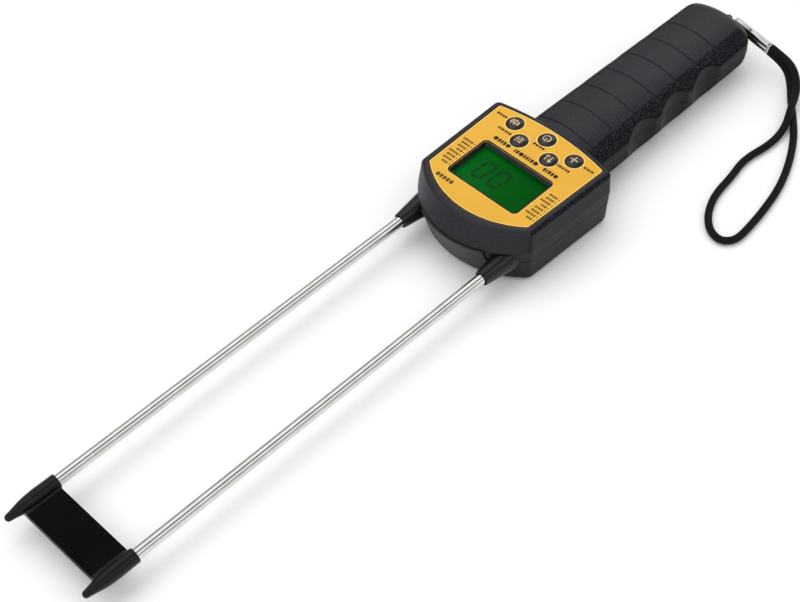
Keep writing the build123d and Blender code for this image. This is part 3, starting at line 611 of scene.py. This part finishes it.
def ferrule_sleeve():
    """Crimped sleeve of two lobes with a wavy mouth that turns inwards."""
    around = 72
    side = Vector((0, 1, 0))
    # Distance along the sleeve, lobe radius, lobe offset, waist and depth of the wave, in mm.
    stations = [
        (-0.2, 0.9, 0.7, 1.0),
        (0.1, 1.3, 1.1, 1.2),
        (0.7, 1.6, 1.36, 1.2),
        (1.6, 1.73, 1.44, 1.15),
        (5.0, 1.75, 1.45, 1.12),
        (8.6, 1.74, 1.45, 1.1),
        (9.6, 1.7, 1.42, 1.0),
        (10.4, 1.62, 1.38, 0.86),
        (11.2, 1.7, 1.42, 1.0),
        (12.2, 1.75, 1.45, 1.1),
        (17.6, 1.75, 1.45, 1.1),
        (20.6, 1.77, 1.46, 1.02),
        (22.0, 1.83, 1.48, 1.0, 0.5),
        (22.1, 1.68, 1.46, 0.88, 0.5),
        (21.9, 1.58, 1.45, 0.78, 0.45),
        (20.9, 1.5, 1.43, 0.7),
    ]

    def ring(distance, lobe, offset, waist, wave=0.0):
        loop = []
        for j in range(around):
            angle = 2 * math.pi * j / around
            reach = lobe_outline(angle, lobe, offset, waist) * MM
            shift = (distance + wave * abs(math.cos(angle))) * MM
            outwards = -LIFT * math.cos(angle) + side * math.sin(angle)
            loop.append(SLEEVE_START + HEADING * shift + outwards * reach)
        return loop

    verts = [v for station in stations for v in ring(*station)]
    faces = tube_faces(len(stations), around)
    sleeve = new_object("ferrule_sleeve", verts, faces, SLEEVE, "wrist_strap", True)
    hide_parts("strap_ferrule")


def ferrule_eye():
    """Flat ring round the pin, with its outer edges broken."""
    verts, faces = [], []
    steps = 48
    outer, inner, half, nip = 2.2, 0.85, 0.9, 0.3
    profile = [
        (inner, -half), (inner, half), (outer - nip, half),
        (outer, half - nip), (outer, nip - half), (outer - nip, -half),
    ]
    for j in range(steps):
        angle = 2 * math.pi * j / steps
        for radius, z in profile:
            verts.append(PIN + Vector((radius * math.cos(angle), radius * math.sin(angle), z)) * MM)
    count = len(profile)
    for j in range(steps):
        n = (j + 1) % steps
        for k in range(count):
            m = (k + 1) % count
            faces.append((j * count + k, n * count + k, n * count + m, j * count + m))
    new_object("ferrule_eye", verts, faces, SLEEVE, "wrist_strap", False)


def ferrule_neck():
    """Block between the eye and the sleeve, taller and higher at the sleeve's end."""
    width = 2.4
    neck = bmesh.new()
    bmesh.ops.create_cube(neck, size=1.0)
    for v in neck.verts:
        x, tall, rise = (-5.2, 3.4, 1.2) if v.co.x < 0 else (-1.7, 1.7, 0.0)
        v.co = PIN + Vector((x, v.co.y * width, v.co.z * tall + rise)) * MM
    edges = neck.edges[:]
    bmesh.ops.bevel(neck, geom=edges, offset=0.3 * MM, segments=3, affect="EDGES", profile=0.5)
    mesh = bpy.data.meshes.new("ferrule_neck")
    neck.to_mesh(mesh)
    neck.free()
    place_mesh("ferrule_neck", mesh, SLEEVE, "wrist_strap", True)


ferrule_sleeve()
ferrule_eye()
ferrule_neck()


# ---------------------------------------------------------------- prints, and painted shade and highlights along the label's edges
FACE = 30.1
PRINT_Z = FACE + 0.025


def centre(node):
    """Centre of a CAD node's box, in mm."""
    low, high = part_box(node)
    return (low + high) / 2 / MM


WINDOW_Y = centre("display_window").y


def outline_loops(node):
    """Closed boundary loops, in mm, of the top face of a flat CAD node."""
    mesh = NODES[node].data
    level = max(v.co.z for v in mesh.vertices) - 2e-5
    edges = {}
    places = {}

    def key(index):
        co = mesh.vertices[index].co
        k = (round(co.x * 1e6), round(co.y * 1e6))
        places[k] = Vector((co.x, co.y)) / MM
        return k

    for polygon in mesh.polygons:
        if all(mesh.vertices[i].co.z > level for i in polygon.vertices):
            loop = [key(i) for i in polygon.vertices]
            for a, b in zip(loop, loop[1:] + loop[:1]):
                if (b, a) in edges:
                    del edges[(b, a)]
                else:
                    edges[(a, b)] = True
    follow = dict(edges.keys())
    loops = []
    while follow:
        start, here = next(iter(follow.items()))
        loop = [start]
        del follow[start]
        while here != start and here in follow:
            loop.append(here)
            here = follow.pop(here)
        loops.append([places[k] for k in loop])
    return loops


def offset_loop(loop, distance):
    """A closed loop moved to its left by a distance, mitred at its corners."""
    out = []
    for k, here in enumerate(loop):
        first = (here - loop[k - 1]).normalized()
        second = (loop[(k + 1) % len(loop)] - here).normalized()
        left = Vector((-first.y, first.x)) + Vector((-second.y, second.x))
        left.normalize()
        stretch = max(0.35, left.dot(Vector((-second.y, second.x))))
        out.append(here + left * distance / stretch)
    return out


def band(name, loops, near, far, mat):
    """Flat band between two offsets of closed loops, for outlines, painted shade and painted
    highlights along edges.
    """
    verts, faces = [], []
    for loop in loops:
        inner, outer = offset_loop(loop, near), offset_loop(loop, far)
        start, count = len(verts), len(loop)
        verts += [Vector((*p, PRINT_Z)) * MM for p in inner + outer]
        for k in range(count):
            n = (k + 1) % count
            faces.append((start + k, start + n, start + count + n, start + count + k))
    new_object(name, verts, faces, mat, "meter", False)


def tidy_loop(loop, least=0.05):
    """Drops points that nearly coincide."""
    out = []
    for p in loop:
        if not out or (p - out[-1]).length > least:
            out.append(p)
    if (out[0] - out[-1]).length <= least:
        out.pop()
    return out


def label_edge_bands():
    loops = [tidy_loop(loop) for loop in outline_loops("face_label")]
    loops.sort(key=lambda loop: -max((p - loop[0]).length for p in loop))
    outer, window, keys = loops[:1], loops[1:2], loops[2:]
    # Dark bands: a black outline round the label, widened with painted shadow of the gap at its
    # edge, and painted shade of the window's recess walls.
    band("label_outline_and_gap_shade", outer, 0.02, 0.62, BLACK_INK_AND_SHADE)
    # The light lines and key rings are painted highlights along edges.
    band("label_edge_highlight", outer, 0.62, 0.95, EDGE_HIGHLIGHT)
    band("window_recess_shade", window, 0.02, 0.8, BLACK_INK_AND_SHADE)
    band("window_edge_highlight", window, 0.8, 1.05, EDGE_HIGHLIGHT)
    band("key_ring_highlights", keys, 0.02, 0.45, EDGE_HIGHLIGHT)


def bars(name, rows, mat):
    """Small rounded dashes, each (centre x, centre y, length, height), in place of print."""
    verts, faces = [], []
    for x, y, length, height in rows:
        half_l, half_h = length / 2, height / 2
        nip = min(half_h, half_l) * 0.55
        shape = [
            (half_l, nip - half_h), (half_l, half_h - nip),
            (half_l - nip, half_h), (nip - half_l, half_h),
            (-half_l, half_h - nip), (-half_l, nip - half_h),
            (nip - half_l, -half_h), (half_l - nip, -half_h),
        ]
        start = len(verts)
        verts += [Vector((x + dx, y + dy, PRINT_Z)) * MM for dx, dy in shape]
        faces.append(tuple(range(start, start + len(shape))))
    new_object(name, verts, faces, mat, "meter", False)


def dash_row(left, right, y, height, lengths, gap):
    """Dashes of repeating lengths that fill a row from left to right."""
    out, x, k = [], left, 0
    while x + lengths[k % len(lengths)] <= right + 1e-6:
        length = lengths[k % len(lengths)]
        out.append((x + length / 2, y, length, height))
        x += length + gap
        k += 1
    return out


def print_marks():
    """Generic dashes where the label has its captions; nothing can be read in them."""
    title = (
        (-19.2, -9.2, (1.9, 1.2, 1.4, 0.7, 1.3)),
        (-7.4, 7.4, (2.3, 1.3, 0.7, 1.2, 1.0)),
        (9.2, 19.0, (2.2, 1.3, 1.0, 1.3)),
    )
    captions = (
        (23.0, 29.4, 28.9, (1.2, 0.9, 0.5, 0.9)),
        (14.2, 22.8, 22.2, (1.2, 0.8, 0.8, 0.5)),
        (-3.2, 3.9, 25.2, (1.3, 0.8, 0.7, 1.2)),
        (-20.8, -13.6, 22.2, (1.2, 0.9, 0.5, 0.9)),
        (-28.9, -23.2, 28.9, (1.1, 0.5, 1.0, 0.5)),
    )
    marks = []
    for left, right, lengths in title:
        marks += dash_row(left, right, WINDOW_Y - 16.2, 2.2, lengths, 0.42)
    for left, right, back, lengths in captions:
        marks += dash_row(left, right, WINDOW_Y - back, 1.4, lengths, 0.3)
    bars("title_dashes", marks, BLACK_INK_AND_SHADE)
    code = dash_row(12.4, 22.8, WINDOW_Y + 17.1, 2.2, (1.8, 1.6, 1.5, 1.4), 0.45)
    bars("code_dashes", code, INK_SOFT)
    # Dot, left end, shortest right end, how the right end varies, and lengths.
    columns = (
        (21.9, 23.0, 27.6, 5, 0.5, (1.1, 0.7, 0.9)),
        (-28.9, -27.8, -23.8, 3, 0.45, (1.0, 0.8, 0.6)),
    )
    rows = []
    for dot, left, right, skip, step, lengths in columns:
        for k in range(8):
            y = WINDOW_Y + 9.8 - 2.35 * k
            rows.append((dot, y, 0.7, 0.7))
            rows += dash_row(left, right + (k * skip % 4) * step, y, 1.3, lengths, 0.28)
    bars("list_dashes", rows, INK_SOFT)


KEY_TOP = 31.2
DOME_R = 8.5
SYMBOL_WIDTH = 0.62
SYMBOL_LIFT = 0.04


def stroke(points, width, verts, faces):
    """Adds a flat stroke along points to a mesh in the making."""
    start = len(verts)
    for k, p in enumerate(points):
        here = Vector(p)
        before = Vector(points[max(k - 1, 0)])
        after = Vector(points[min(k + 1, len(points) - 1)])
        run = (after - before).normalized()
        left = Vector((-run.y, run.x)) * width / 2
        verts += [here + left, here - left]
    for k in range(len(points) - 1):
        a = start + 2 * k
        faces.append((a, a + 1, a + 3, a + 2))


def arc(cx, cy, radius, first, last, count=28):
    angles = [math.radians(first + (last - first) * k / count) for k in range(count + 1)]
    return [(cx + radius * math.cos(a), cy + radius * math.sin(a)) for a in angles]


def line(*points, pieces=6):
    """A polyline divided so that it can follow the dome."""
    out = [points[0]]
    for (ax, ay), (bx, by) in zip(points, points[1:]):
        for k in range(1, pieces + 1):
            out.append((ax + (bx - ax) * k / pieces, ay + (by - ay) * k / pieces))
    return out


def key_symbols():
    """Plain symbols on the key caps: sound, list, power, up and down, plus."""
    shapes = {
        "key_voice": [
            line(
                (-2.0, -0.7), (-2.0, 0.7), (-1.1, 0.7), (0.0, 1.6),
                (0.0, -1.6), (-1.1, -0.7), (-2.0, -0.7),
            ),
            arc(-0.2, 0, 1.3, -48, 48),
            arc(-0.2, 0, 2.2, -48, 48),
        ],
        "key_variety": [
            line((-1.9, 1.3), (0.1, 1.3)),
            line((-1.9, 0.0), (1.9, 0.0)),
            line((-1.9, -1.3), (0.1, -1.3)),
            line((1.2, 1.9), (1.2, 0.7)),
            line((1.2, -0.7), (1.2, -1.9)),
        ],
        "key_power": [arc(0, 0, 1.8, 122, 418), line((0, 2.2), (0, 0.2))],
        "key_adjust": [
            line((-1.2, -1.8), (-1.2, 1.8)),
            line((-2.1, 0.8), (-1.2, 1.8), (-0.3, 0.8)),
            line((1.2, 1.8), (1.2, -1.8)),
            line((0.3, -0.8), (1.2, -1.8), (2.1, -0.8)),
        ],
        "key_limit": [line((-2.1, 0), (2.1, 0)), line((0, -2.1), (0, 2.1))],
    }
    for key, strokes in shapes.items():
        verts, faces = [], []
        for points in strokes:
            stroke(points, SYMBOL_WIDTH, verts, faces)
        x, y = centre(key).xy
        domed = []
        for v in verts:
            rise = KEY_TOP - DOME_R + math.sqrt(DOME_R**2 - v.length_squared)
            domed.append(Vector((x + v.x, y + v.y, rise + SYMBOL_LIFT)) * MM)
        new_object(key.replace("key_", "symbol_"), domed, faces, GOLD, key, True)


LCD_TOP = 26.6


def lcd_digits():
    """Two slanted seven-segment zeros, faint on the panel."""
    verts, faces = [], []
    z = LCD_TOP + 0.03
    width, height, thick = 5.4, 10.6, 1.7
    slant, gap = 0.12, 0.12
    segments = [
        ((0, height), (width, height)),
        ((0, 0), (width, 0)),
        ((0, 0), (0, height / 2)),
        ((0, height / 2), (0, height)),
        ((width, 0), (width, height / 2)),
        ((width, height / 2), (width, height)),
    ]
    for digit_x in (-1.6, 7.4):
        for (ax, ay), (bx, by) in segments:
            a, b = Vector((ax, ay)), Vector((bx, by))
            run = (b - a).normalized()
            left = Vector((-run.y, run.x)) * thick / 2
            a, b = a + run * gap, b - run * gap
            inner_a, inner_b = a + run * thick / 2, b - run * thick / 2
            shape = [a, inner_a + left, inner_b + left, b, inner_b - left, inner_a - left]
            start = len(verts)
            for p in shape:
                x = digit_x + p.x + slant * p.y - 0.7
                y = WINDOW_Y - 0.3 - height / 2 + p.y
                verts.append(Vector((x, y, z)) * MM)
            faces.append(tuple(reversed(range(start, start + 6))))
    new_object("lcd_digits", verts, faces, SEGMENT, "meter", False)


label_edge_bands()
print_marks()
key_symbols()
lcd_digits()


# ---------------------------------------------------------------- studio
FLOOR_Z = -0.0003
FLOOR_HALF = 4
WORLD_STRENGTH = 1.35
# Two soft boxes with a darker strip between them: degrees from overhead, towards +X.
PANELS = [
    (-180, 0.4), (-90, 0.45), (-59, 0.4), (-47, 0.95), (-34, 1.0), (-22, 0.16),
    (-6, 0.14), (8, 1.0), (36, 1.0), (44, 0.7), (66, 0.25), (90, 0.22), (180, 0.4),
]


def make_floor():
    turns = ((-1, -1), (1, -1), (1, 1), (-1, 1))
    corners = [(x * FLOOR_HALF, y * FLOOR_HALF, FLOOR_Z) for x, y in turns]
    floor_mesh = bpy.data.meshes.new("floor")
    floor_mesh.from_pydata(corners, [], [(0, 1, 2, 3)])
    floor_mat = bpy.data.materials.new("floor")
    floor_mat.use_nodes = True
    shader = floor_mat.node_tree.nodes["Principled BSDF"]
    shader.inputs["Base Color"].default_value = (0.9, 0.9, 0.9, 1)
    shader.inputs["Roughness"].default_value = 0.8
    shader.inputs["Specular IOR Level"].default_value = 0.1
    floor_mesh.materials.append(floor_mat)
    floor = bpy.data.objects.new("floor", floor_mesh)
    bpy.context.scene.collection.objects.link(floor)


def area_light(name, place, aim, size, power):
    """A soft lamp that does not show in reflections."""
    data = bpy.data.lights.new(name, "AREA")
    data.shape = "RECTANGLE"
    data.size, data.size_y = size
    data.energy = power
    light = bpy.data.objects.new(name, data)
    light.location = place
    light.rotation_euler = (Vector(place) - Vector(aim)).to_track_quat("Z", "Y").to_euler()
    bpy.context.scene.collection.objects.link(light)
    light.visible_glossy = False


def make_world():
    """Soft boxes for reflections and light, and a plain white where the camera looks past."""
    world = bpy.data.worlds.new("world")
    world.use_nodes = True
    tree = world.node_tree
    background = tree.nodes["Background"]
    coords = tree.nodes.new("ShaderNodeTexCoord")
    parts = tree.nodes.new("ShaderNodeSeparateXYZ")
    turn = tree.nodes.new("ShaderNodeMath")
    turn.operation = "ARCTAN2"
    place = tree.nodes.new("ShaderNodeMath")
    place.operation = "MULTIPLY_ADD"
    place.inputs[1].default_value = 0.5 / math.pi
    place.inputs[2].default_value = 0.5
    ramp = tree.nodes.new("ShaderNodeValToRGB")
    stops = ramp.color_ramp
    for k, (angle, level) in enumerate(PANELS):
        position = 0.5 + angle / 360
        if k in (0, len(PANELS) - 1):
            stop = stops.elements[0 if k == 0 else -1]
            stop.position = position
        else:
            stop = stops.elements.new(position)
        stop.color = (level, level, level, 1)
    path = tree.nodes.new("ShaderNodeLightPath")
    choose = tree.nodes.new("ShaderNodeMix")
    choose.data_type = "RGBA"
    sockets = [s for s in choose.inputs if s.type == "RGBA"]
    sockets[1].default_value = (0.78, 0.78, 0.78, 1)
    tree.links.new(coords.outputs["Generated"], parts.inputs[0])
    tree.links.new(parts.outputs[0], turn.inputs[0])
    tree.links.new(parts.outputs[2], turn.inputs[1])
    tree.links.new(turn.outputs[0], place.inputs[0])
    tree.links.new(place.outputs[0], ramp.inputs["Fac"])
    tree.links.new(path.outputs["Is Camera Ray"], choose.inputs[0])
    tree.links.new(ramp.outputs["Color"], sockets[0])
    chosen = [s for s in choose.outputs if s.type == "RGBA"][0]
    tree.links.new(chosen, background.inputs["Color"])
    background.inputs["Strength"].default_value = WORLD_STRENGTH
    bpy.context.scene.world = world
    bpy.context.scene.view_settings.view_transform = "Standard"


make_floor()
area_light("overhead", (0.1, -0.1, 1.5), (0, 0, 0), (1.8, 1.8), 10)
area_light("front_fill", (-0.7, 1.2, 1.4), (0, 0.05, 0), (0.9, 0.7), 3)
make_world()
